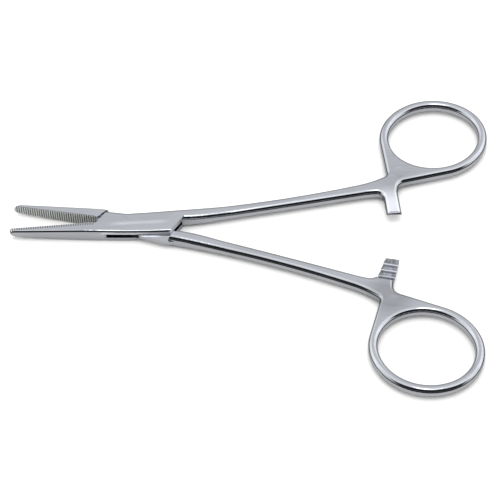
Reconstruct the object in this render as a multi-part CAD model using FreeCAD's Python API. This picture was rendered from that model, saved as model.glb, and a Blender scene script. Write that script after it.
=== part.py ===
import FreeCAD, Part
import math
import os

os.makedirs("parts", exist_ok=True)

# All sizes in millimetres. Each arm is drawn lying flat in its own closed frame: the pin
# is the origin, the jaw points along -X with its gripping face on the line y = 0, and the
# finger ring lies on the +Y side. Z runs across the flat, with z = 0 halfway up.

# Pose of the finished part
half_opening_deg = 7.2          # each arm is turned this far from the closed pose

# Thickness across the flat
box_thickness = 3.9
jaw_tip_thickness = 2.1
handle_thickness = 3.1          # shank, web and ring
bend_radius = 60.0              # where the flat of the box runs into jaw and shank
flat_run_front = 2.0            # how far that flat goes on past the plates
flat_run_rear = 3.0

# Jaws
jaw_reach = 29.5                # pin to jaw tip
jaw_tip_width = 1.0
jaw_root_width = 3.1
jaw_nose = 1.3                  # length of the rounded end of the tip
serration_pitch = 0.6
serration_depth = 0.25
serration_heel = 0.6            # left plain between the last tooth and the box
jaw_face_gap = 0.03             # left between the meshed faces when the jaws are shut

# Box lock
box_front_inner = 7.2           # pin to the front edge of the plates, at the jaw face
box_front_outer = 4.4           # the same edge at the side of the box
box_rear_inner = 14.6           # pin to the rear edge of the plates, at the crotch
box_rear_outer = 11.5
box_shoulder = 3.95             # half width of the box at its two shoulders
box_waist = 2.95                # half width of the box beside the pin
box_waist_x = 0.5
slot_height = 1.24
slot_wall_front = 4.6           # where the slot's end walls come out of the box
slot_wall_rear = 4.8
slot_side = 3.35                # half width at which those two places are given
tongue_half_width = 2.5         # beside the pin
tongue_slim = 1.9               # half width at its ends, on the side away from the arm
tongue_heel_front = 3.4         # length of the steps, from the face line outwards
tongue_heel_rear = 4.85
tongue_neck = 0.15              # how far the full width of the tongue passes the steps
tongue_bury = 2.4               # length of the tongue inside the jaw and the handle
tongue_play = 0.05              # clearance above and below the tongue
step_clearance = 0.1            # between the ends of the plates and the steps they face

# Rivet pin
pin_radius = 1.25
pin_clearance = 0.05
pin_chamfer = 0.08

# Shank, whose centre line is a parabola that starts at the crotch
crotch_gap = 0.1                # half of the gap between the shanks at the crotch
shank_offset = 1.47
shank_slope = 0.0847
shank_bow = 0.00101
shank_start = 22.0
shank_end = 60.5
shank_root_width = 3.3
shank_mid_width = 2.85
shank_end_width = 3.55
shank_slim_x = 26.0             # from here on the shank has its full slimness

# Finger ring, a four-centre oval, and the web that joins it to the shank
ring_x = 81.25
ring_y = 24.8
ring_long = 13.0                # half axes of the centre line of the ring
ring_flat = 0.9                 # how much shorter the other half axis is
ring_tilt_deg = 12.0
ring_band = 2.4
web_front_x = 67.9
web_front_y = 12.0
web_rear_x = 70.7
web_rear_y = 9.2
dish_x = 71.2                   # middle of the shallow hollow in each side of the web
dish_y = 12.6
dish_radius = 2.3
dish_depth = 0.22

# Ratchet: a tab on each arm with teeth on the side that faces the other tab
tab_root_x = 70.22              # rear edge of the tab where it leaves the shank
tab_root_y = 6.0
box_tab_overlap = 1.5           # how far the tab passes the middle in the closed pose
box_tab_lean = 0.4              # how much further from the pin its end is
box_tab_widths = (3.85, 3.95)   # at the root and at the end
tongue_tab_overlap = 2.4
tongue_tab_lean = 0.2
tongue_tab_widths = (4.5, 3.5)
tab_end_round = 0.6
tooth_count = 3
tooth_pitch = 2.0
tooth_depth = 0.7
tooth_rise = 0.12               # run of the steep face of a tooth
tooth_clearance = 0.05
last_tooth_y = 3.9              # crest that is nearest to the shank
tooth_run_out = 0.9             # the cut of the teeth ends on a slant across the tab

# Rounding
handle_round = 1.15
jaw_round = 0.55
web_round = 1.5                 # between shank and ring
tab_front_round = 1.9           # between the tab and the shank in front of it
tab_rear_round = 2.4            # between the tab and the ring
waist_round = 3.0

BOX_TAB = (box_tab_overlap, box_tab_lean, box_tab_widths)
TONGUE_TAB = (tongue_tab_overlap, tongue_tab_lean, tongue_tab_widths)
HALF_BOX = box_thickness / 2
HALF_HANDLE = handle_thickness / 2
HALF_TONGUE = slot_height / 2 - tongue_play
FACE_Y = -jaw_face_gap / 2
DEEP = 6.0                      # more than any thickness
SPARE = 3.0                     # material that a later cut takes off again


def vec(x, y, z=0.0):
    return FreeCAD.Vector(x, y, z)


def unit(a, b):
    length = math.hypot(b[0] - a[0], b[1] - a[1])
    return ((b[0] - a[0]) / length, (b[1] - a[1]) / length)


def along(a, b, distance):
    # The point on the line from a through b at a distance from a
    way = unit(a, b)
    return (a[0] + way[0] * distance, a[1] + way[1] * distance)


def shifted(point, dx):
    return (point[0] + dx, point[1])


def line(a, b):
    return Part.LineSegment(vec(*a), vec(*b)).toShape()


def lines(points):
    return [line(points[i], points[i + 1]) for i in range(len(points) - 1)]


def arc_on(start, way, end):
    # The arc that leaves start in the direction way and ends at end
    dx = end[0] - start[0]
    dy = end[1] - start[1]
    side = way[0] * dy - way[1] * dx
    if abs(side) < 1e-9:
        return line(start, end)
    radius = (dx * dx + dy * dy) / (2 * side)
    chord = unit(start, end)
    half = math.hypot(dx, dy) / 2
    bulge = radius - math.copysign(math.sqrt(max(radius * radius - half * half, 0)), radius)
    middle = ((start[0] + end[0]) / 2 + chord[1] * bulge,
              (start[1] + end[1]) / 2 - chord[0] * bulge)
    return Part.Arc(vec(*start), vec(*middle), vec(*end)).toShape()


def arc_edge(centre, radius, first, last):
    circle = Part.Circle(vec(*centre), vec(0, 0, 1), radius)
    return Part.ArcOfCircle(circle, first, last).toShape()


def rounded_path(points, radius):
    # Straight lines with an arc of one radius at each inner point
    edges = []
    start = points[0]
    for k in range(1, len(points) - 1):
        before = unit(points[k - 1], points[k])
        after = unit(points[k], points[k + 1])
        turn = math.acos(before[0] * after[0] + before[1] * after[1])
        reach = radius * math.tan(turn / 2)
        enter = along(points[k], points[k - 1], reach)
        leave = along(points[k], points[k + 1], reach)
        edges.append(line(start, enter))
        edges.append(arc_on(enter, before, leave))
        start = leave
    edges.append(line(start, points[-1]))
    return edges


def slab(edges, low=-DEEP, high=DEEP):
    face = Part.Face(Part.Wire(Part.__sortEdges__(edges)))
    face.translate(vec(0, 0, low))
    return face.extrude(vec(0, 0, high - low))


def polygon(points, low=-DEEP, high=DEEP):
    return slab(lines(points + points[:1]), low, high)


def side_block(edges, x_low, x_high):
    # Edges drawn as (y, z) and extruded along X
    face = Part.Face(Part.Wire(Part.__sortEdges__(edges)))
    face.rotate(vec(0, 0), vec(1, 0), 90)
    face.rotate(vec(0, 0), vec(0, 0, 1), 90)
    face.translate(vec(x_low, 0))
    return face.extrude(vec(x_high - x_low, 0))


def pin_hole(radius):
    return Part.makeCylinder(radius, 2 * DEEP, vec(0, 0, -DEEP))


def upright_edges(shape, places):
    found = []
    for edge in shape.Edges:
        a = edge.Vertexes[0].Point
        b = edge.Vertexes[-1].Point
        if abs(a.z - b.z) < 1 or math.hypot(a.x - b.x, a.y - b.y) > 0.01:
            continue
        if any(math.hypot(a.x - x, a.y - y) < 0.05 for x, y in places):
            found.append(edge)
    return found


def rims(shape, keep):
    # Edges between a wall and the top or bottom, where keep says that they are rounded
    found = []
    for edge in shape.Edges:
        middle = edge.valueAt((edge.FirstParameter + edge.LastParameter) / 2)
        walls = 0
        for face in shape.ancestorsOfType(edge, Part.Face):
            u, v = face.Surface.parameter(middle)
            if abs(face.normalAt(u, v).z) < 0.05:
                walls += 1
        if walls == 1 and keep(middle.x, middle.y):
            found.append(edge)
    return found


def side_profile():
    # The instrument seen from the side: tapered jaw, flat box, slim handle
    near = -jaw_reach - SPARE
    far = ring_x + 2 * ring_long
    half_tip = jaw_tip_thickness / 2
    bends = [(near, half_tip), (-box_front_inner - flat_run_front, HALF_BOX),
             (box_rear_outer + flat_run_rear, HALF_BOX), (shank_slim_x, HALF_HANDLE),
             (far, HALF_HANDLE)]
    half = rounded_path(bends, bend_radius)
    half += [line((near, 0), (near, half_tip)), line((far, 0), (far, HALF_HANDLE))]
    edges = half + [edge.mirror(vec(0, 0), vec(0, 1)) for edge in half]
    face = Part.Face(Part.Wire(Part.__sortEdges__(edges)))
    face.rotate(vec(0, 0), vec(1, 0), 90)
    face.translate(vec(0, -DEEP, 0))
    return face.extrude(vec(0, ring_y + 2 * ring_long + DEEP, 0))


def jaw_outer_line():
    # From the box to a point past the tip, which is trimmed when the rims are round
    root = (-(box_front_inner + box_front_outer) / 2, -jaw_root_width)
    tip = (-jaw_reach, -jaw_tip_width)
    return root, along(root, tip, jaw_reach + root[0] + SPARE)


def gripping_face(sign):
    # Zigzag about the face line; the other arm has the opposite sign, so that they mesh
    half = sign * serration_depth / 2
    x = -jaw_reach + jaw_nose / 2
    length = -box_front_inner - serration_heel - x
    points = [(-jaw_reach - SPARE, FACE_Y), (x, FACE_Y)]
    for k in range(int(length / serration_pitch)):
        points.append((x + serration_pitch / 4, FACE_Y + half))
        points.append((x + serration_pitch * 3 / 4, FACE_Y - half))
        x += serration_pitch
    return points + [(x, FACE_Y)]


def trim_tip(shape):
    # Rounds the end of the jaw like a quarter of an egg, widest at the gripping face
    fullness = 1.15
    centre = -jaw_reach + jaw_nose
    swell = FreeCAD.Matrix()
    swell.scale(jaw_nose, jaw_tip_width * fullness ** 2, jaw_tip_thickness / 2 * fullness)
    egg = Part.makeSphere(1).transformGeometry(swell)
    egg.translate(vec(centre, 0, 0))
    length = jaw_nose + 2 * SPARE
    block = Part.makeBox(length, 2 * DEEP, 2 * DEEP, vec(centre - length, -DEEP, -DEEP))
    return shape.cut(block.cut(egg))


def shank_edge(x, side):
    run = x - box_rear_inner
    centre = shank_offset + shank_slope * run + shank_bow * run * run
    part = (x - shank_start) / (shank_end - shank_start)
    dip = (shank_root_width + shank_end_width) / 2 - shank_mid_width
    width = shank_root_width * (1 - part) + shank_end_width * part - 4 * dip * part * (1 - part)
    return (x, centre + side * width / 2)


def shank_side(side, before, after):
    # Three tangent arcs: one along the shank and one at each end, to the points given
    start = shank_edge(shank_start, side)
    middle = shank_edge((shank_start + shank_end) / 2, side)
    end = shank_edge(shank_end, side)
    long_arc = Part.Arc(vec(*start), vec(*middle), vec(*end))
    first = long_arc.tangent(long_arc.FirstParameter)[0]
    last = long_arc.tangent(long_arc.LastParameter)[0]
    near = arc_on(start, (-first.x, -first.y), before)
    far = arc_on(end, (last.x, last.y), after)
    return [near, long_arc.toShape(), far]


def ring_arcs(grow):
    # Centre, radius, first and last angle of the four arcs: right, top, left and bottom
    tilt = math.radians(ring_tilt_deg)
    end_off = ring_flat * 7 / 4
    side_off = ring_flat * 5 / 3
    end_radius = ring_long - end_off
    side_radius = ring_long - ring_flat + side_off
    joint = math.atan2(side_off, end_off)
    arcs = []
    for k in range(4):
        axis = tilt + k * math.pi / 2
        off, radius, half = end_off, end_radius, joint
        if k % 2:
            off, radius, half = -side_off, side_radius, math.pi / 2 - joint
        centre = (ring_x + off * math.cos(axis), ring_y + off * math.sin(axis))
        arcs.append((centre, radius + grow, axis - half, axis + half))
    return arcs


def touch(centre, radius, point, side):
    # Where a line from point touches the circle: its angle and the place
    away = math.atan2(point[1] - centre[1], point[0] - centre[0])
    reach = math.hypot(point[1] - centre[1], point[0] - centre[0])
    angle = (away + side * math.acos(radius / reach)) % (2 * math.pi)
    return angle, (centre[0] + radius * math.cos(angle), centre[1] + radius * math.sin(angle))


def tab_sides(tab):
    # Root and far point of the rear edge, then of the front edge, drawn past the end
    overlap, lean, widths = tab
    length = tab_root_y + overlap
    sides = []
    for root_x, end_x in ((0, lean), (-widths[0], lean - widths[1])):
        root = (tab_root_x + root_x, tab_root_y)
        sides += [root, along(root, (tab_root_x + end_x, -overlap), length + SPARE)]
    return sides


def handle_outline(top_start, tab):
    # From the top of the box along the shank, round web, ring and tab, back to the crotch
    right, top, left, bottom = ring_arcs(ring_band / 2)
    web_front = (web_front_x, web_front_y)
    web_rear = (web_rear_x, web_rear_y)
    leave, leave_place = touch(left[0], left[1], web_front, -1)
    land, land_place = touch(bottom[0], bottom[1], web_rear, 1)
    root_rear, far_rear, root_front, far_front = tab_sides(tab)
    edges = shank_side(1, top_start, web_front)
    edges += [line(web_front, leave_place), arc_edge(left[0], left[1], left[2], leave)]
    edges += [arc_edge(*top), arc_edge(*right)]
    edges += [arc_edge(bottom[0], bottom[1], land, bottom[3]), line(land_place, web_rear)]
    edges += lines([web_rear, root_rear, far_rear, far_front, root_front])
    return edges + shank_side(-1, (box_rear_inner, crotch_gap), root_front)


def round_handle(outline, tab, keep):
    # A full-height slab of the outline becomes a rounded handle with its finger hole
    root_front = tab_sides(tab)[2]
    corners = ((web_round, (web_front_x, web_front_y)), (tab_rear_round, (web_rear_x, web_rear_y)),
               (tab_front_round, root_front), (waist_round, (box_waist_x, box_waist)))
    shape = slab(outline)
    for radius, place in corners:
        found = upright_edges(shape, [place])
        if found:
            shape = shape.makeFillet(radius, found)
    shape = shape.common(side_profile())
    shape = shape.cut(slab([arc_edge(*arc) for arc in ring_arcs(-ring_band / 2)]))
    floor = -tab[0] - 1
    shape = shape.makeFillet(handle_round, rims(shape, lambda x, y: keep(x, y) and y > floor))
    return shape.cut(web_dish(1)).cut(web_dish(-1))


def web_dish(side):
    # A large ball that sinks a little into one side of the web
    radius = (dish_radius ** 2 + dish_depth ** 2) / (2 * dish_depth)
    height = HALF_HANDLE + radius - dish_depth
    return Part.makeSphere(radius, vec(dish_x, dish_y, side * height))


def ratchet_cut(tab):
    # Seen along X: ramps that fall towards the end of the tab, steep faces to the shank
    overlap, _, widths = tab
    level = tooth_clearance / 2
    root = tab_root_y + 0.2
    y = last_tooth_y - (tooth_count - 1) * tooth_pitch
    points = [(-overlap - SPARE, level + tooth_depth * 1.3), (-overlap, level + tooth_depth)]
    for k in range(tooth_count):
        points.append((y, level))
        points.append((y + tooth_rise, level + tooth_depth))
        y += tooth_pitch
    points += [(root - 0.5, level + tooth_depth / 3), (root, level)]
    points += [(root, -DEEP), (-overlap - SPARE, -DEEP)]
    front = tab_root_x - widths[0]
    cutter = side_block(lines(points + points[:1]), front - SPARE, tab_root_x + SPARE)
    # The cut leaves the rounded corner between tab and shank alone
    low = (front - tooth_run_out, root - 1.3)
    high = (front + tooth_run_out, root)
    outer = [along(high, low, 3 * SPARE), along(low, high, 4 * SPARE)]
    return cutter.cut(polygon(outer + [(outer[1][0], root + DEEP), (outer[0][0], root + DEEP)]))


def finish_tab(shape, tab):
    # The tab of an arm is only the upper half, with a rounded end and teeth underneath
    overlap, _, widths = tab
    bottom = (-overlap, -DEEP)
    corner = (-overlap, HALF_HANDLE - tab_end_round)
    top = (-overlap + tab_end_round, HALF_HANDLE)
    edges = [line(bottom, corner), arc_on(corner, (0, 1), top)]
    edges += lines([top, (top[0], DEEP), (-overlap - 2 * SPARE, DEEP),
                    (-overlap - 2 * SPARE, -DEEP), bottom])
    end = side_block(edges, tab_root_x - 2 * widths[0], tab_root_x + widths[0])
    return shape.cut(end).cut(ratchet_cut(tab))


def slot_space():
    # The slot runs right across the box between two slanted end walls
    front = (-box_front_inner, 0)
    rear = (box_rear_inner, crotch_gap)
    front_end = along(front, (-slot_wall_front, -slot_side), 2 * SPARE)
    rear_end = along(rear, (slot_wall_rear, slot_side), 5 * SPARE)
    outline = [front, front_end, (box_rear_outer + 2, -DEEP), rear, rear_end,
               (-box_front_inner + 1, DEEP)]
    return polygon(outline, -slot_height / 2, slot_height / 2)


def beyond(low, high, towards_x):
    # A block on one side of the slanted line through two points
    a = along(high, low, 3 * SPARE)
    b = along(low, high, 3 * SPARE)
    return polygon([a, b, (towards_x, b[1]), (towards_x, a[1])])


def box_arm():
    front = (-box_front_inner, FACE_Y)
    front_shoulder = (-box_front_outer, box_shoulder)
    waist = (box_waist_x, box_waist)
    crotch = (box_rear_inner, crotch_gap)
    rear_shoulder = (box_rear_outer, -box_shoulder)
    jaw_root, jaw_end = jaw_outer_line()
    face_line = gripping_face(1)
    outline = lines(face_line + [front, front_shoulder, waist])
    outline += handle_outline(waist, BOX_TAB)
    outline += [line(crotch, rear_shoulder)]
    outline += [arc_on(jaw_root, unit(jaw_end, jaw_root), rear_shoulder)]
    outline += lines([jaw_root, jaw_end, face_line[0]])

    def on_jaw(x, y):
        return y < -0.5 and -jaw_reach - SPARE + 0.05 < x < box_rear_outer - 0.05

    def on_handle(x, y):
        on_rear_edge = box_rear_outer - 0.1 < x < box_rear_inner + 0.02 and y < crotch_gap + 0.01
        return x > -box_front_outer and not on_rear_edge and not on_jaw(x, y)

    arm = round_handle(outline, BOX_TAB, on_handle)
    arm = arm.makeFillet(jaw_round, rims(arm, on_jaw))
    arm = finish_tab(trim_tip(arm), BOX_TAB)
    return arm.cut(slot_space()).cut(pin_hole(pin_radius))


def tongue_jaw():
    face_line = gripping_face(-1)
    jaw_root, jaw_end = jaw_outer_line()
    back = -box_front_outer / 2
    outline = lines(face_line + [(back, FACE_Y), (back, -jaw_root_width), jaw_root, jaw_end,
                                 face_line[0]])
    jaw = slab(outline).common(side_profile())
    jaw = jaw.makeFillet(jaw_round, rims(jaw, lambda x, y: y < -0.5 and x < back - 0.05
                                         and x > -jaw_reach - SPARE + 0.05))
    low = (-box_front_inner - step_clearance, 0)
    high = (-box_front_outer - step_clearance, -box_shoulder)
    return trim_tip(jaw).cut(beyond(low, high, DEEP))


def tongue_handle():
    start = shank_edge(box_rear_outer - tongue_bury, 1)
    crotch = (box_rear_inner, crotch_gap)
    outline = handle_outline(start, TONGUE_TAB)
    outline += lines([crotch, (start[0], crotch_gap), start])
    handle = round_handle(outline, TONGUE_TAB, lambda x, y: x > start[0] + 0.05)
    low = (box_rear_inner + step_clearance, -crotch_gap)
    high = (box_rear_outer + step_clearance, box_shoulder)
    handle = handle.cut(beyond(low, high, 0))
    return finish_tab(handle, TONGUE_TAB)


def tongue():
    # Thin plate between the jaw and the handle. Outside it is flush with the box when the
    # arms are shut, inside it is slimmer, so that it swings clear of the slot's end walls.
    half = tongue_half_width
    front_step = along((-box_front_inner, 0), (-box_front_outer, -box_shoulder),
                       tongue_heel_front)
    rear_step = along((box_rear_inner, 0), (box_rear_outer, box_shoulder), tongue_heel_rear)
    bury_front = -box_front_inner - tongue_bury / 2
    bury_rear = box_rear_inner + tongue_bury
    low = [(bury_front, -jaw_root_width * 0.8), shifted(front_step, tongue_neck),
           (0, -half), (slot_wall_rear, -tongue_slim),
           (box_rear_inner - 2 * tongue_neck, 1.5 * crotch_gap), (bury_rear, shank_offset / 2)]
    high = [(bury_rear, shank_root_width * 0.8), shifted(rear_step, -tongue_neck),
            (0, half), (-slot_wall_front, tongue_slim),
            (-box_front_inner + tongue_neck, FACE_Y), (bury_front, -jaw_root_width / 5)]
    return polygon(low + high, -HALF_TONGUE, HALF_TONGUE)


def tongue_arm():
    arm = tongue_jaw().fuse(tongue_handle()).fuse(tongue()).removeSplitter()
    arm = arm.cut(pin_hole(pin_radius + pin_clearance))
    arm = arm.mirror(vec(0, 0, 0), vec(0, 1, 0))
    return arm.mirror(vec(0, 0, 0), vec(0, 0, 1))


def pivot_pin():
    pin = Part.makeCylinder(pin_radius, box_thickness, vec(0, 0, -HALF_BOX))
    ends = [edge for edge in pin.Edges if edge.Closed]
    return pin.makeChamfer(pin_chamfer, ends)


def place(shape, turn_deg):
    shape.rotate(vec(0, 0, 0), vec(0, 0, 1), turn_deg)
    shape.translate(vec(0, 0, HALF_BOX))
    return shape


parts = {
    "box_arm": place(box_arm(), half_opening_deg),
    "tongue_arm": place(tongue_arm(), -half_opening_deg),
    "pivot_pin": place(pivot_pin(), half_opening_deg),
}
for name, shape in parts.items():
    print(name, shape.isValid(), len(shape.Solids), round(shape.Volume, 2))
    shape.exportStep("parts/" + name + ".step")
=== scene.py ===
import bpy
import bmesh
import math
from mathutils import Matrix, Vector


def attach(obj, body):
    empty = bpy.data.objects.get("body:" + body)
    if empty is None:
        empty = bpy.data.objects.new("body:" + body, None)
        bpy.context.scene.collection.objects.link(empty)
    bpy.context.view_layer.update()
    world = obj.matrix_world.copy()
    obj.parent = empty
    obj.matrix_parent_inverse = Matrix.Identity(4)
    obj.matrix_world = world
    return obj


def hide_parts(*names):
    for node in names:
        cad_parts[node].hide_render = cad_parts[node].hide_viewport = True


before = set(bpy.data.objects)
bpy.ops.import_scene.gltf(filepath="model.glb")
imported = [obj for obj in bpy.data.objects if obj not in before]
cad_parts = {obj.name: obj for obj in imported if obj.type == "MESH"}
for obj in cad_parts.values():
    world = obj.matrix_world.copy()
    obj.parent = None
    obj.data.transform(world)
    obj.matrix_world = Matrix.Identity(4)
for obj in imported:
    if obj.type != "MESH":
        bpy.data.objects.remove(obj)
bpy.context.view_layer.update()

MM = 0.001
PIVOT = Vector((0.0, 0.0, 1.95 * MM))
ARM_TURN = math.radians(7.2)    # each arm is turned this far from the closed pose

# The gripping faces, in an arm's own closed frame: jaw along -X, both jaws meet at y = 0
FACE_Y = -0.015 * MM            # middle height of the serrations
TEETH = 35
TOOTH_PITCH = 0.6 * MM
TOOTH_DEPTH = 0.25 * MM
FIRST_TOOTH = -28.85 * MM       # where the serrations start behind the rounded tip
LAST_TOOTH = FIRST_TOOTH + TEETH * TOOTH_PITCH
CREST_LAND = 0.07 * MM
TOOTH_FOOT = 0.04 * MM          # how deep a tooth is let into the jaw
TOOTH_GAP = 0.006 * MM          # between two teeth at the foot, so each is a closed body
JAW_HALF_THICKNESS = 1.05 * MM  # at JAW_THIN_END, and growing from there by JAW_TAPER
JAW_THIN_END = -32.5 * MM
JAW_TAPER = 0.9 / 23.3
JAW_TALLEST = 1.925 * MM

# The upper and lower plate of the box, in the same frame
PLATE_TOP = 1.95 * MM
PLATE_ROUND = 0.55 * MM         # radius along the plates' sides
PLATE_SIDE_X = (-6.3 * MM, 12.0 * MM)
PLATE_SIDE_Y = -2.3 * MM        # the whole side, rounding and all, lies beyond this
PLATE_SIDE_SLOPE = -0.04

# Where the finishes, and the painted light and shade, lie in the same frame. A pair is a span,
# or the two ends of a fade
LOCK_X = (-4.9 * MM, 4.4 * MM)  # inside of the box lock
LOCK_HALF_WIDTH = 3.25 * MM
LOCK_HALF_HEIGHT = 0.66 * MM
CROTCH_X = (4.0 * MM, 11.4 * MM)    # behind the lock, where the arms part
CROTCH_Y = (-1.4 * MM, -0.8 * MM)
TAB_X = (65.4 * MM, 72.0 * MM)
RATCHET_END_Y = (6.15 * MM, 6.25 * MM)
RATCHET_TOP_Z = (0.95 * MM, 1.05 * MM)
RATCHET_FOOT_Z = (0.28 * MM, 0.46 * MM)
# Outside of the tab: rubbed, and painted lighter as a highlight
RUB_HIGHLIGHT_ROOT_Y = (2.0 * MM, 9.0 * MM)    # outside of the tab
RUB_HIGHLIGHT_END_Y = (-1.1 * MM, -0.7 * MM)
RUB_HIGHLIGHT_Z = (1.2 * MM, 1.4 * MM)
GROOVE_SHADE_REACH = {"box": 0.95 * MM, "tongue": 0.35 * MM}    # down from the gripping face
WEB_MIDDLE = (70.0 * MM, 10.8 * MM, -1.5 * MM)
WEB_FADE = (2.5 * MM, 8.0 * MM)     # from the middle of the web
WEB_PAINTED_SHADE = {"box": 0.04, "tongue": 0.17}
# A band on top of the box that is painted lighter as a highlight
HIGHLIGHT_BAND_X = (-3.0 * MM, 10.5 * MM)   # on top of the box
HIGHLIGHT_BAND_Y = (-1.25 * MM, -0.35 * MM)
# Sides of the upper plate, painted lighter as a reflection of the table
SIDE_LIGHT_X = (-6.0 * MM, 13.5 * MM)    # sides of the upper plate
SIDE_LIGHT_Y = (-1.6 * MM, -1.2 * MM)
SIDE_LIGHT_Z = (0.62 * MM, 1.32 * MM)

MERGE = 0.001 * MM              # corners closer than this are one
STRAIGHT = 0.004 * MM           # an edge that strays less than this is straight
FLAT_ANGLE = math.radians(0.25)
SHARP_ANGLE = math.radians(50)

# Camera: place and turn found by laying the model over the photograph
CAMERA_ELEVATION = math.radians(50.0)
CAMERA_DISTANCE = 493.4 * MM
CAMERA_AIM = Vector((31.58 * MM, -9.70 * MM, 0.0))
CAMERA_TURN = math.radians(6.44)
CAMERA_ROLL = math.radians(-2.25)
CAMERA_LENS = 141.0
SENSOR_WIDTH = 36.0

# The room: what the steel mirrors, what lights the table, and the white behind it all
DARK_LEVEL = 0.014
SOFTBOX_LEVEL = 2.1
FILL_LEVEL = 1.25
BACKDROP_LEVEL = 1.0
TABLE_WHITE = 0.93


def add(tree, kind, **settings):
    node = tree.nodes.new(kind)
    for name, value in settings.items():
        setattr(node, name, value)
    return node


def feed(tree, socket, value):
    # Links a socket to another one, or sets its number or colour
    if hasattr(value, "links"):
        tree.links.new(value, socket)
    else:
        socket.default_value = value


def calc(tree, operation, a, b=0.0):
    node = add(tree, "ShaderNodeMath", operation=operation)
    feed(tree, node.inputs[0], a)
    feed(tree, node.inputs[1], b)
    return node.outputs[0]


def ramp(tree, value, low, high, to_low=0.0, to_high=1.0):
    node = add(tree, "ShaderNodeMapRange", interpolation_type="SMOOTHSTEP")
    for name, given in (("Value", value), ("From Min", low), ("From Max", high),
                        ("To Min", to_low), ("To Max", to_high)):
        feed(tree, node.inputs[name], given)
    return node.outputs["Result"]


def product(tree, *factors):
    made = factors[0]
    for factor in factors[1:]:
        made = calc(tree, "MULTIPLY", made, factor)
    return made


def blend(tree, factor, a, b):
    node = add(tree, "ShaderNodeMix", data_type="FLOAT")
    for k, value in ((0, factor), (2, a), (3, b)):
        feed(tree, node.inputs[k], value)
    return node.outputs[0]


def tinted(tree, tone, green, blue):
    colour = add(tree, "ShaderNodeCombineColor")
    tree.links.new(tone, colour.inputs["Red"])
    tree.links.new(calc(tree, "MULTIPLY", tone, green), colour.inputs["Green"])
    tree.links.new(calc(tree, "MULTIPLY", tone, blue), colour.inputs["Blue"])
    return colour.outputs[0]


def within(tree, value, span, soft):
    # 1 inside the span, 0 outside, with soft edges
    low, high = span
    return product(tree, ramp(tree, value, low - soft, low + soft),
                   ramp(tree, value, high - soft, high + soft, 1, 0))


def noise(tree, vector, scale, stretch=(1.0, 1.0, 1.0), detail=3.0, rough=0.5):
    squeeze = add(tree, "ShaderNodeVectorMath", operation="MULTIPLY")
    tree.links.new(vector, squeeze.inputs[0])
    squeeze.inputs[1].default_value = stretch
    made = add(tree, "ShaderNodeTexNoise")
    tree.links.new(squeeze.outputs[0], made.inputs["Vector"])
    for name, value in (("Scale", scale), ("Detail", detail), ("Roughness", rough)):
        made.inputs[name].default_value = value
    return made.outputs["Fac"]


def bump(tree, height, distance, below=None):
    node = add(tree, "ShaderNodeBump")
    node.inputs["Strength"].default_value = 1.0
    node.inputs["Distance"].default_value = distance
    tree.links.new(height, node.inputs["Height"])
    if below is not None:
        tree.links.new(below, node.inputs["Normal"])
    return node.outputs[0]


def studio_world():
    # A white room: dim along the horizon, a softbox overhead, dark behind the camera
    world = bpy.data.worlds.new("studio")
    bpy.context.scene.world = world
    world.use_nodes = True
    tree = world.node_tree
    tree.nodes.clear()
    out = add(tree, "ShaderNodeOutputWorld")
    shade = add(tree, "ShaderNodeBackground")
    tree.links.new(shade.outputs[0], out.inputs["Surface"])
    coords = add(tree, "ShaderNodeTexCoord")
    turn = add(tree, "ShaderNodeMapping", vector_type="VECTOR")
    turn.inputs["Rotation"].default_value = (0, 0, -CAMERA_TURN)
    tree.links.new(coords.outputs["Generated"], turn.inputs["Vector"])
    parts = add(tree, "ShaderNodeSeparateXYZ")
    tree.links.new(turn.outputs["Vector"], parts.inputs[0])
    x, y, z = parts.outputs
    # Angle over the top in degrees: back horizon 0, zenith 90, front horizon 180
    over = calc(tree, "MULTIPLY", calc(tree, "ARCTAN2", z, y), 180 / math.pi)
    side = calc(tree, "ABSOLUTE", x)
    walls = calc(tree, "ADD", ramp(tree, over, 22, 46, 0.46, 0.66),
                 ramp(tree, over, 48, 84, 0.0, 0.22))
    # Lighter towards the windows on both sides
    windows = product(tree, ramp(tree, side, 0.25, 0.50), ramp(tree, over, 8, 26),
                      ramp(tree, over, 60, 90, 0.45, 0.0))
    walls = calc(tree, "ADD", walls, windows)
    # The softbox hangs a little to the left
    softbox = product(tree, ramp(tree, over, 88, 98), ramp(tree, over, 110, 117, 1, 0),
                      ramp(tree, x, -0.215, -0.155), ramp(tree, x, 0.07, 0.15, 1, 0.10))
    dark = product(tree, ramp(tree, over, 113, 120), ramp(tree, side, 0.72, 0.95, 1, 0),
                   ramp(tree, over, 158, 180, 1, 0.90))
    level = blend(tree, dark, walls, DARK_LEVEL)
    level = calc(tree, "ADD", level, calc(tree, "MULTIPLY", softbox, SOFTBOX_LEVEL))
    path = add(tree, "ShaderNodeLightPath")
    level = blend(tree, path.outputs["Is Diffuse Ray"], level, FILL_LEVEL)
    level = blend(tree, path.outputs["Is Camera Ray"], level, BACKDROP_LEVEL)
    shade.inputs["Color"].default_value = (0.97, 0.985, 1.0, 1.0)
    tree.links.new(level, shade.inputs["Strength"])


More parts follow.
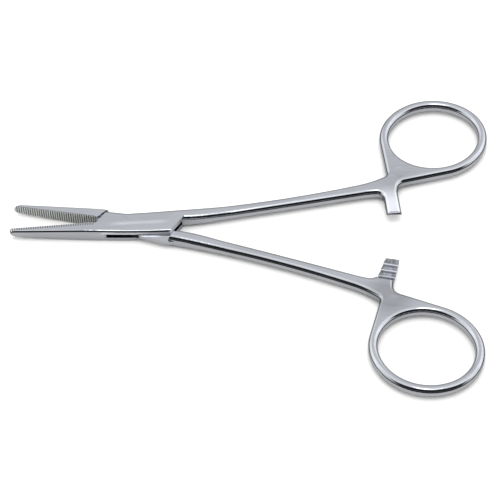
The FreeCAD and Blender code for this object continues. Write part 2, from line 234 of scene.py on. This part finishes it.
def table():
    # White. For rays mirrored in the steel its colour is painted darker towards the horizon: a
    # painted reflection of the dark room
    bpy.ops.mesh.primitive_plane_add(size=6.0, location=(0, 0, 0))
    plane = bpy.context.object
    plane.name = "table"
    paint = bpy.data.materials.new("white_table")
    paint.use_nodes = True
    tree = paint.node_tree
    shader = tree.nodes["Principled BSDF"]
    shader.inputs["Roughness"].default_value = 0.9
    shader.inputs["Specular IOR Level"].default_value = 0.0
    slant = add(tree, "ShaderNodeLayerWeight")
    slant.inputs["Blend"].default_value = 0.5
    lean = add(tree, "ShaderNodeCombineXYZ")
    for k, value in enumerate(Matrix.Rotation(CAMERA_TURN, 3, "Z") @ Vector((0, -0.15, 0.99))):
        lean.inputs[k].default_value = value
    tree.links.new(lean.outputs[0], slant.inputs["Normal"])
    upright = calc(tree, "SUBTRACT", 1.0, slant.outputs["Facing"])
    # Painted reflection: dark at low angles, light at steep ones, only for glossy rays
    painted_dark_horizon = ramp(tree, upright, 0.24, 0.62, 0.012, 0.43)
    path = add(tree, "ShaderNodeLightPath")
    level = blend(tree, path.outputs["Is Glossy Ray"], TABLE_WHITE, painted_dark_horizon)
    tree.links.new(tinted(tree, level, 0.985, 0.965), shader.inputs["Base Color"])
    plane.data.materials.append(paint)


def overhead_light():
    # Soft light from above and behind, so that the shadow lies on the near side
    data = bpy.data.lights.new("overhead", "SUN")
    data.energy = 1.1
    data.angle = math.radians(50)
    made = bpy.data.objects.new("overhead", data)
    bpy.context.scene.collection.objects.link(made)
    made.visible_glossy = False
    down = Matrix.Rotation(CAMERA_TURN, 3, "Z") @ Vector((0, -0.10, -0.995))
    made.rotation_mode = "QUATERNION"
    made.rotation_quaternion = down.to_track_quat("-Z", "Y")


def camera():
    # From the front and above, swung about the pivot with the room and turned a little
    data = bpy.data.cameras.new("camera")
    made = bpy.data.objects.new("camera", data)
    bpy.context.scene.collection.objects.link(made)
    bpy.context.scene.camera = made
    data.lens = CAMERA_LENS
    data.sensor_width = SENSOR_WIDTH
    data.clip_start = 0.01
    data.clip_end = 20.0
    forward = Vector((0, math.cos(CAMERA_ELEVATION), -math.sin(CAMERA_ELEVATION)))
    level_up = Vector((0, math.sin(CAMERA_ELEVATION), math.cos(CAMERA_ELEVATION)))
    level_right = Vector((1, 0, 0))
    roll_cos = math.cos(CAMERA_ROLL)
    roll_sin = math.sin(CAMERA_ROLL)
    right = level_right * roll_cos + level_up * roll_sin
    up = level_up * roll_cos - level_right * roll_sin
    place = CAMERA_AIM - forward * CAMERA_DISTANCE
    turn = Matrix.Rotation(CAMERA_TURN, 3, "Z")
    rows = Matrix((turn @ right, turn @ up, turn @ -forward)).transposed()
    made.matrix_world = Matrix.Translation(turn @ place + PIVOT) @ rows.to_4x4()


def arm_frame(arm):
    # From an arm's own closed frame to the place where the arm lies; the tongue arm is the
    # box arm's pattern turned over about X
    if arm == "box":
        return Matrix.Translation(PIVOT) @ Matrix.Rotation(ARM_TURN, 4, "Z")
    over = Matrix.Rotation(math.pi, 4, "X")
    return Matrix.Translation(PIVOT) @ Matrix.Rotation(-ARM_TURN, 4, "Z") @ over


def arm_coordinates(tree, arm):
    # Object coordinates turned back into the arm's own closed frame
    coords = add(tree, "ShaderNodeTexCoord")
    back = add(tree, "ShaderNodeMapping")
    home = arm_frame(arm).inverted()
    back.inputs["Rotation"].default_value = home.to_euler()
    back.inputs["Location"].default_value = home.translation
    tree.links.new(coords.outputs["Object"], back.inputs["Vector"])
    return back.outputs[0]


# Mask for the painted shade inside the lock, and on the box arm in the crotch behind it
def painted_lock_shade(tree, spot, arm):
    x, y, z = spot
    span = within(tree, x, LOCK_X, 0.4 * MM)
    if arm == "box":
        crotch = product(tree, within(tree, x, CROTCH_X, 0.4 * MM), ramp(tree, y, *CROTCH_Y))
        span = calc(tree, "MAXIMUM", span, crotch)
    return product(tree, within(tree, z, (-LOCK_HALF_HEIGHT, LOCK_HALF_HEIGHT), 0.02 * MM),
                   within(tree, y, (-LOCK_HALF_WIDTH, LOCK_HALF_WIDTH), 0.15 * MM), span)


def ratchet_teeth(tree, spot):
    x, y, z = spot
    return product(tree, within(tree, x, TAB_X, 0.05 * MM),
                   ramp(tree, y, *RATCHET_END_Y, 1, 0), ramp(tree, z, *RATCHET_TOP_Z, 1, 0))


def tab_outside(tree, spot):
    x, y, z = spot
    return product(tree, within(tree, x, TAB_X, 0.6 * MM),
                   ramp(tree, y, *RUB_HIGHLIGHT_ROOT_Y, 1, 0), ramp(tree, z, *RUB_HIGHLIGHT_Z),
                   ramp(tree, y, *RUB_HIGHLIGHT_END_Y))


def steep_faces(tree, teeth, arm):
    # Of the teeth, those faces that look towards the shank, which get a painted highlight
    facing = add(tree, "ShaderNodeTexCoord")
    way = add(tree, "ShaderNodeSeparateXYZ")
    tree.links.new(facing.outputs["Normal"], way.inputs[0])
    to_shank = calc(tree, "MULTIPLY", way.outputs[1], 1.0 if arm == "box" else -1.0)
    return product(tree, teeth, ramp(tree, to_shank, 0.6, 0.75))


# Dark stripes along the jaw's edge at the tooth pitch: painted shade of the serration grooves
def painted_groove_shade(tree, spot, arm):
    x, y, z = spot
    reach = GROOVE_SHADE_REACH[arm]
    edge = product(tree, within(tree, x, (FIRST_TOOTH, LAST_TOOTH), 0.1 * MM),
                   ramp(tree, y, FACE_Y - reach, FACE_Y - reach * 0.6))
    wave = calc(tree, "SINE", calc(tree, "MULTIPLY", x, 2 * math.pi / TOOTH_PITCH))
    return product(tree, edge, ramp(tree, wave, -0.6, 0.6))


# Painted shade in the hollow of the web, darkest at its middle
def painted_web_shade(tree, place, arm):
    away = add(tree, "ShaderNodeVectorMath", operation="DISTANCE")
    tree.links.new(place, away.inputs[0])
    away.inputs[1].default_value = WEB_MIDDLE
    return ramp(tree, away.outputs["Value"], *WEB_FADE, WEB_PAINTED_SHADE[arm], 0.0)


def polished_steel(name, arm):
    steel = bpy.data.materials.new(name)
    steel.use_nodes = True
    tree = steel.node_tree
    shader = tree.nodes["Principled BSDF"]
    place = arm_coordinates(tree, arm)
    parts = add(tree, "ShaderNodeSeparateXYZ")
    tree.links.new(place, parts.inputs[0])
    spot = parts.outputs
    x, y, z = spot

    # Polishing lines along the arm, and soft unevenness from polishing by hand
    lines = noise(tree, place, 1100, (0.03, 1.0, 1.0), 3, 0.55)
    clouds = noise(tree, place, 130, (0.5, 1.0, 1.0), 3, 0.5)
    swell = noise(tree, place, 75, (0.6, 1.0, 1.0), 1, 0.4)
    grind = noise(tree, place, 900, (1.0, 0.12, 0.6), 4, 0.6)

    lock_shade = painted_lock_shade(tree, spot, arm)
    teeth = ratchet_teeth(tree, spot)
    rub_and_highlight = tab_outside(tree, spot)
    steep_highlight = steep_faces(tree, teeth, arm)
    foot = product(tree, steep_highlight, ramp(tree, z, *RATCHET_FOOT_Z))
    groove_shade = painted_groove_shade(tree, spot, arm)

    tone = calc(tree, "ADD", ramp(tree, clouds, 0.3, 0.7, 0.68, 0.74),
                ramp(tree, lines, 0.3, 0.7, -0.015, 0.015))
    # The hollow of the web is painted a shade darker: painted shade in the dish
    tone = calc(tree, "SUBTRACT", tone, painted_web_shade(tree, place, arm))
    if arm == "box":
        # A lengthwise band on top of the box, painted lighter: a painted highlight along its
        # crown
        highlight_band = product(tree, within(tree, x, HIGHLIGHT_BAND_X, 2.0 * MM),
                         within(tree, y, HIGHLIGHT_BAND_Y, 0.45 * MM))
        tone = calc(tree, "ADD", tone, calc(tree, "MULTIPLY", highlight_band, 0.22))
    # Dark stripes at the tooth pitch along the edge of the jaw: painted shade of the serration
    # grooves
    tone = blend(tree, groove_shade, tone, 0.30)
    # The outside of the tabs is rubbed, rougher and less metallic, and painted lighter: a
    # painted highlight
    tone = calc(tree, "ADD", tone, calc(tree, "MULTIPLY", rub_and_highlight, 0.24))
    # The ratchet teeth are ground and left matt. Their steep faces are painted white, a
    # painted highlight, and dark again at the foot, painted shade
    tone = blend(tree, teeth, tone, ramp(tree, grind, 0.32, 0.68, 0.32, 0.74))
    tone = blend(tree, steep_highlight, tone, 0.95)
    tone = blend(tree, foot, tone, 0.30)
    metal = blend(tree, rub_and_highlight, 1.0, 0.7)
    metal = blend(tree, steep_highlight, metal, 0.1)
    if arm == "box":
        # The sides of the upper plate beside the lock are painted lighter and less metallic: a
        # painted reflection of the table
        side_light = product(tree, within(tree, x, SIDE_LIGHT_X, 0.5 * MM),
                        within(tree, z, SIDE_LIGHT_Z, 0.08 * MM), ramp(tree, y, *SIDE_LIGHT_Y, 1, 0))
        tone = blend(tree, side_light, tone, 0.62)
        metal = blend(tree, side_light, metal, 0.45)
    # Inside the lock, and in the crotch behind it, the steel is painted dark: painted shade in
    # the recess. It is rougher there too
    tone = blend(tree, lock_shade, tone, 0.05)
    rough = calc(tree, "ADD", ramp(tree, clouds, 0.3, 0.7, 0.07, 0.12),
                 ramp(tree, lines, 0.3, 0.7, 0.0, 0.03))
    for mask, roughness in ((rub_and_highlight, 0.36), (teeth, 0.34), (lock_shade, 0.55)):
        rough = blend(tree, mask, rough, roughness)
    tree.links.new(tinted(tree, tone, 1.02, 1.085), shader.inputs["Base Color"])
    tree.links.new(metal, shader.inputs["Metallic"])
    tree.links.new(rough, shader.inputs["Roughness"])
    soft = bump(tree, swell, 0.12 * MM)
    fine = bump(tree, lines, 0.0012 * MM, soft)
    tree.links.new(fine, shader.inputs["Normal"])
    return steel


def cut_steel(name, arm):
    # The gripping faces are left as cut, with a fine grain. Their crests are painted bright
    # and their grooves dark: painted highlight and painted shade
    steel = bpy.data.materials.new(name)
    steel.use_nodes = True
    tree = steel.node_tree
    shader = tree.nodes["Principled BSDF"]
    shader.inputs["Metallic"].default_value = 0.6
    coords = add(tree, "ShaderNodeTexCoord")
    grain = noise(tree, coords.outputs["Object"], 3600, detail=5)
    parts = add(tree, "ShaderNodeSeparateXYZ")
    tree.links.new(arm_coordinates(tree, arm), parts.inputs[0])
    height = calc(tree, "SUBTRACT", parts.outputs[1], FACE_Y)
    # Painted by height over the face: light on the crests, dark in the grooves
    tone = calc(tree, "MULTIPLY", ramp(tree, grain, 0.35, 0.68, 0.75, 1.0),
                ramp(tree, height, -0.10 * MM, 0.05 * MM, 0.16, 0.98))
    tree.links.new(tinted(tree, tone, 1.02, 0.99), shader.inputs["Base Color"])
    tree.links.new(ramp(tree, grain, 0.3, 0.7, 0.28, 0.45), shader.inputs["Roughness"])
    tree.links.new(bump(tree, grain, 0.01 * MM), shader.inputs["Normal"])
    return steel


def level_gripping_face(work, to_arm):
    # Takes the ridges off a jaw, down to the foot of the teeth that are set on it later
    to_world = to_arm.inverted()
    foot = FACE_Y - TOOTH_DEPTH / 2
    first, last = FIRST_TOOTH + 0.05 * MM, LAST_TOOTH + 0.05 * MM
    for vert in work.verts:
        point = to_arm @ vert.co
        on_ridges = abs(point.y - FACE_Y) < TOOTH_DEPTH * 0.55
        if on_ridges and first < point.x < last:
            point.y = foot
            vert.co = to_world @ point


def straighten_edges(work):
    # A corner that joins only two faces and lies on the straight line between its
    # neighbours would be cut off both faces as the same sliver, so it is taken out
    spare = True
    while spare:
        spare = []
        kept = set()
        for vert in work.verts:
            if len(vert.link_edges) != 2 or vert in kept:
                continue
            ends = [edge.other_vert(vert) for edge in vert.link_edges]
            along = (ends[1].co - ends[0].co).normalized()
            if (vert.co - ends[0].co).cross(along).length < STRAIGHT:
                spare.append(vert)
                kept.update(ends)
        bmesh.ops.dissolve_verts(work, verts=spare)


def round_plate_edges(mesh, place):
    # The rounding along the sides of the plates comes as long coarse fans. Each corner of
    # them gets the normal of the true rounding
    to_arm = place.inverted()
    normals = [corner.vector.copy() for corner in mesh.corner_normals]
    for face in mesh.polygons:
        points = [to_arm @ mesh.vertices[k].co for k in face.vertices]
        beside = all(p.y < PLATE_SIDE_Y and PLATE_SIDE_X[0] < p.x < PLATE_SIDE_X[1]
                     for p in points)
        rounded = all(abs(p.z) > PLATE_TOP - PLATE_ROUND - 0.02 * MM for p in points)
        level = abs(face.normal.z) > 0.9995
        if level or not beside or not rounded:
            continue
        for corner, p in zip(face.loop_indices, points):
            lift = (abs(p.z) - PLATE_TOP + PLATE_ROUND) / PLATE_ROUND
            lift = math.copysign(min(max(lift, 0.0), 1.0), p.z)
            normal = Vector((PLATE_SIDE_SLOPE, -1.0, 0.0)).normalized()
            normal *= math.sqrt(1 - lift * lift)
            normal.z = lift
            normals[corner] = place.to_3x3() @ normal
    mesh.normals_split_custom_set(normals)


def forging(node, body, name, material, arm):
    # An arm's own mesh, merged, its jaw levelled and its curves shaded smooth
    made = bpy.data.objects.new(name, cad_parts[node].data.copy())
    mesh = made.data
    bpy.context.scene.collection.objects.link(made)
    work = bmesh.new()
    work.from_mesh(mesh)
    bmesh.ops.remove_doubles(work, verts=work.verts, dist=MERGE)
    level_gripping_face(work, arm_frame(arm).inverted())
    bmesh.ops.dissolve_degenerate(work, edges=work.edges, dist=2 * MERGE)
    bmesh.ops.dissolve_limit(work, angle_limit=FLAT_ANGLE, verts=work.verts,
                             edges=work.edges)
    straighten_edges(work)
    for face in work.faces:
        face.smooth = True
    for edge in work.edges:
        edge.smooth = edge.calc_face_angle(0) < SHARP_ANGLE
    work.to_mesh(mesh)
    work.free()
    mesh.materials.clear()
    mesh.materials.append(material)
    weigh = made.modifiers.new("weighted normals", "WEIGHTED_NORMAL")
    weigh.keep_sharp = True
    weigh.weight = 80
    evaluated = made.evaluated_get(bpy.context.evaluated_depsgraph_get())
    made.data = bpy.data.meshes.new_from_object(evaluated)
    made.modifiers.clear()
    if arm == "box":
        round_plate_edges(made.data, arm_frame(arm))
    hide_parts(node)
    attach(made, body)


def rivet(material):
    # Ground flush with the box, with a small centre mark in each end. The outline runs from
    # the mark out to the rim, as radius and height in mm, and back on the other end
    outline = [(0.0, 1.89), (0.06, 1.90), (0.11, 1.935), (0.14, 1.95), (0.17, 1.95),
               (1.22, 1.95), (1.25, 1.945)]
    outline += [(r, -z) for r, z in reversed(outline)]
    steps = 64
    sharp = math.radians(35)
    work = bmesh.new()
    rings = []
    for r, z in outline:
        ring = []
        for k in range(steps if r else 1):
            angle = 2 * math.pi * k / steps
            spot = Vector((math.cos(angle) * r, math.sin(angle) * r, z)) * MM
            ring.append(work.verts.new(PIVOT + spot))
        rings.append(ring)
    for upper, lower in zip(rings, rings[1:]):
        for k in range(steps):
            n = (k + 1) % steps
            if len(upper) == 1:
                work.faces.new((upper[0], lower[k], lower[n]))
            elif len(lower) == 1:
                work.faces.new((upper[k], lower[0], upper[n]))
            else:
                work.faces.new((upper[k], lower[k], lower[n], upper[n]))
    for face in work.faces:
        face.smooth = True
    for edge in work.edges:
        edge.smooth = edge.calc_face_angle(0) < sharp
    bmesh.ops.recalc_face_normals(work, faces=work.faces)
    mesh = bpy.data.meshes.new("pivot_rivet")
    work.to_mesh(mesh)
    work.free()
    mesh.materials.append(material)
    made = bpy.data.objects.new("pivot_rivet", mesh)
    bpy.context.scene.collection.objects.link(made)
    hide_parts("pivot_pin")
    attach(made, "box_half")


def serration_tree():
    # A row of ridges across the jaw, each as tall as the jaw is thick at its place
    tree = bpy.data.node_groups.new("jaw_serrations", "GeometryNodeTree")
    face = tree.interface
    face.new_socket("Geometry", in_out="OUTPUT", socket_type="NodeSocketGeometry")
    for name, kind in (("Teeth", "Int"), ("Pitch", "Float"), ("Depth", "Float"),
                       ("Crest land", "Float"), ("Foot", "Float"), ("Gap", "Float"),
                       ("First crest", "Float"), ("Face height", "Float"),
                       ("Thin end", "Float"), ("Half thickness", "Float"),
                       ("Taper", "Float"), ("Tallest", "Float"), ("Turn", "Vector"),
                       ("Pivot", "Vector"), ("Steel", "Material")):
        face.new_socket(name, in_out="INPUT", socket_type="NodeSocket" + kind)
    given = add(tree, "NodeGroupInput").outputs
    out = add(tree, "NodeGroupOutput")

    def link(source, target):
        tree.links.new(source, target)

    # One ridge: a trapezoid drawn flat and swept over a unit length along Z
    profile = add(tree, "GeometryNodeCurvePrimitiveQuadrilateral", mode="TRAPEZOID")
    link(calc(tree, "SUBTRACT", given["Pitch"], given["Gap"]), profile.inputs["Bottom Width"])
    link(given["Crest land"], profile.inputs["Top Width"])
    link(calc(tree, "ADD", given["Depth"], given["Foot"]), profile.inputs["Height"])
    profile.inputs["Offset"].default_value = 0.0
    sweep = add(tree, "GeometryNodeCurvePrimitiveLine")
    sweep.inputs["Start"].default_value = (0, 0, -1)
    sweep.inputs["End"].default_value = (0, 0, 1)
    ridge = add(tree, "GeometryNodeCurveToMesh")
    link(sweep.outputs[0], ridge.inputs["Curve"])
    link(profile.outputs[0], ridge.inputs["Profile Curve"])
    ridge.inputs["Fill Caps"].default_value = True

    # Where the ridges stand
    start = add(tree, "ShaderNodeCombineXYZ")
    link(given["First crest"], start.inputs[0])
    link(given["Face height"], start.inputs[1])
    step = add(tree, "ShaderNodeCombineXYZ")
    link(given["Pitch"], step.inputs[0])
    row = add(tree, "GeometryNodeMeshLine")
    link(given["Teeth"], row.inputs["Count"])
    link(start.outputs[0], row.inputs["Start Location"])
    link(step.outputs[0], row.inputs["Offset"])

    # How tall each one is: as the jaw is one pitch nearer the tip, so that none stands out
    here = add(tree, "GeometryNodeInputPosition")
    apart = add(tree, "ShaderNodeSeparateXYZ")
    link(here.outputs[0], apart.inputs[0])
    run = calc(tree, "SUBTRACT", apart.outputs[0], given["Thin end"])
    half = calc(tree, "ADD", given["Half thickness"],
                calc(tree, "MULTIPLY", calc(tree, "SUBTRACT", run, given["Pitch"]),
                     given["Taper"]))
    half = calc(tree, "MINIMUM", half, given["Tallest"])
    size = add(tree, "ShaderNodeCombineXYZ")
    size.inputs[0].default_value = 1
    size.inputs[1].default_value = 1
    link(half, size.inputs[2])
    stand = add(tree, "GeometryNodeInstanceOnPoints")
    link(row.outputs[0], stand.inputs["Points"])
    link(ridge.outputs[0], stand.inputs["Instance"])
    link(size.outputs[0], stand.inputs["Scale"])

    lay = add(tree, "GeometryNodeTransform")
    link(stand.outputs[0], lay.inputs["Geometry"])
    link(given["Turn"], lay.inputs["Rotation"])
    link(given["Pivot"], lay.inputs["Translation"])
    real = add(tree, "GeometryNodeRealizeInstances")
    link(lay.outputs[0], real.inputs[0])
    finish = add(tree, "GeometryNodeSetMaterial")
    link(given["Steel"], finish.inputs["Material"])
    link(real.outputs[0], finish.inputs["Geometry"])
    link(finish.outputs[0], out.inputs[0])
    return tree


def serrations(tree, arm, body, name):
    maker = bpy.data.objects.new(name + "_maker", bpy.data.meshes.new(name))
    bpy.context.scene.collection.objects.link(maker)
    row = maker.modifiers.new("serrations", "NODES")
    row.node_group = tree
    # The rows of the two jaws stand half a pitch apart and mesh when the jaws shut
    crest = FIRST_TOOTH + (0.25 if arm == "box" else 0.75) * TOOTH_PITCH
    middle = FACE_Y - TOOTH_FOOT / 2
    turn = tuple(arm_frame(arm).to_euler())
    values = {"Teeth": TEETH, "Pitch": TOOTH_PITCH, "Depth": TOOTH_DEPTH,
              "Crest land": CREST_LAND, "Foot": TOOTH_FOOT, "Gap": TOOTH_GAP,
              "First crest": crest, "Face height": middle, "Thin end": JAW_THIN_END,
              "Half thickness": JAW_HALF_THICKNESS, "Taper": JAW_TAPER,
              "Tallest": JAW_TALLEST, "Turn": turn, "Pivot": tuple(PIVOT),
              "Steel": cut_steel(arm + "_jaw_cut_steel", arm)}
    for socket in tree.interface.items_tree:
        if socket.in_out == "INPUT":
            row[socket.identifier] = values[socket.name]
    evaluated = maker.evaluated_get(bpy.context.evaluated_depsgraph_get())
    made = bpy.data.objects.new(name, bpy.data.meshes.new_from_object(evaluated))
    bpy.data.objects.remove(maker)
    bpy.context.scene.collection.objects.link(made)
    work = bmesh.new()
    work.from_mesh(made.data)
    bmesh.ops.remove_doubles(work, verts=work.verts, dist=MERGE)
    bmesh.ops.recalc_face_normals(work, faces=work.faces)
    work.to_mesh(made.data)
    work.free()
    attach(made, body)


box_steel = polished_steel("box_arm_steel", "box")
tongue_steel = polished_steel("tongue_arm_steel", "tongue")
forging("box_arm", "box_half", "box_arm_forging", box_steel, "box")
forging("tongue_arm", "tongue_half", "tongue_arm_forging", tongue_steel, "tongue")
rivet(box_steel)
ridges = serration_tree()
serrations(ridges, "box", "box_half", "box_jaw_serrations")
serrations(ridges, "tongue", "tongue_half", "tongue_jaw_serrations")

studio_world()
table()
overhead_light()
camera()
bpy.context.scene.view_settings.view_transform = "Standard"
